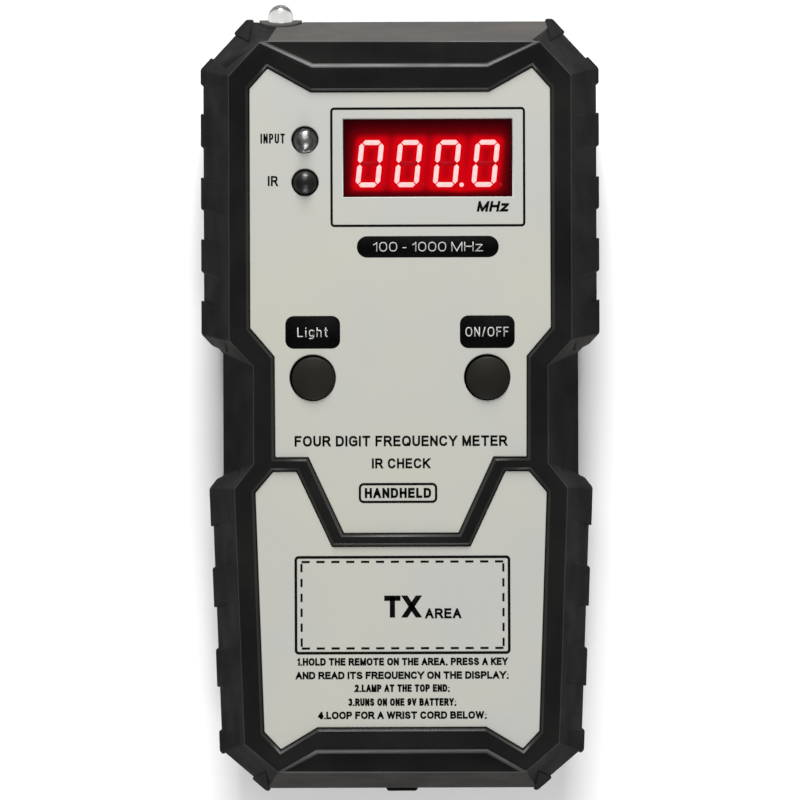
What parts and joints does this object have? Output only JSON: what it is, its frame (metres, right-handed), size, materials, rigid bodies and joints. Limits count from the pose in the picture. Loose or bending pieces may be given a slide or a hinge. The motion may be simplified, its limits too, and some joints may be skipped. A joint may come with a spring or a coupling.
{
  "type": "frequency counter",
  "caption": "Handheld frequency counter with a red digital display, infrared sensor, torch, two push buttons, faceted grip case and sliding battery door.",
  "frame": {"origin": "middle of the back's resting plane, under the middle of the whole object's box", "axes": "+Z out through the face, +Y towards the torch end, +X to the right of the face"},
  "size_m": [0.0804, 0.1592, 0.0322],
  "materials": {
    "case_plastic": "fine spark-eroded texture",
    "face_sheet": "satin printed sheet",
    "window_filter": "polished red filter",
    "display_body": "satin black face",
    "display_light": "lit diffuser",
    "tinned_metal": "bright tin",
    "button_plastic": "soft matt",
    "switch_plastic": "satin",
    "clear_resin": "clear cast resin",
    "dark_resin": "polished dark resin",
    "board": "solder mask",
    "screw_steel": "black zinc",
    "chip": "moulded epoxy",
    "capacitor_sleeve": "shrunk sleeve",
    "copper": "enamelled wire",
    "battery_jacket": "printed jacket",
    "lead_red": "PVC insulation",
    "lead_black": "PVC insulation",
    "foam": "open foam"
  },
  "bodies": {
    "case": {"front_shell": "case_plastic", "back_shell": "case_plastic", "upper_face_plate": "face_sheet", "lower_face_plate": "face_sheet", "display_window": "window_filter", "display_module": "display_body", "display_segments": "display_light", "display_pins": "tinned_metal", "light_switch": "switch_plastic", "power_switch": "switch_plastic", "switch_legs": "tinned_metal", "input_led": "clear_resin", "ir_receiver": "dark_resin", "indicator_legs": "tinned_metal", "torch_led": "clear_resin", "torch_collar": "switch_plastic", "torch_leads": "tinned_metal", "circuit_board": "board", "board_screws": "screw_steel", "case_screws": "screw_steel", "microcontroller": "chip", "microcontroller_legs": "tinned_metal", "prescaler": "chip", "prescaler_legs": "tinned_metal", "crystal": "tinned_metal", "regulator": "chip", "capacitors": "capacitor_sleeve", "capacitor_legs": "tinned_metal", "resistors": "chip", "pickup_coil": "copper", "battery": "battery_jacket", "battery_terminals": "tinned_metal", "battery_snap": "switch_plastic", "battery_lead_red": "lead_red", "battery_lead_black": "lead_black", "battery_pad": "foam"},
    "battery_cover": {"battery_door": "case_plastic"},
    "light_key": {"light_button": "button_plastic", "light_switch_stem": "switch_plastic"},
    "power_key": {"power_button": "button_plastic", "power_switch_stem": "switch_plastic"}
  },
  "joints": [
    {"name": "battery_door_slide", "type": "slide", "parent": "case", "child": "battery_cover", "axis": [0, -1, 0], "range_m": [0, 0.06]},
    {"name": "light_button_press", "type": "slide", "parent": "case", "child": "light_key", "axis": [0, 0, -1], "range_m": [0, 0.0004], "stiffness_N_per_m": 2500, "springref_m": -0.0001},
    {"name": "power_button_press", "type": "slide", "parent": "case", "child": "power_key", "axis": [0, 0, -1], "range_m": [0, 0.0004], "stiffness_N_per_m": 2500, "springref_m": -0.0001}
  ]
}
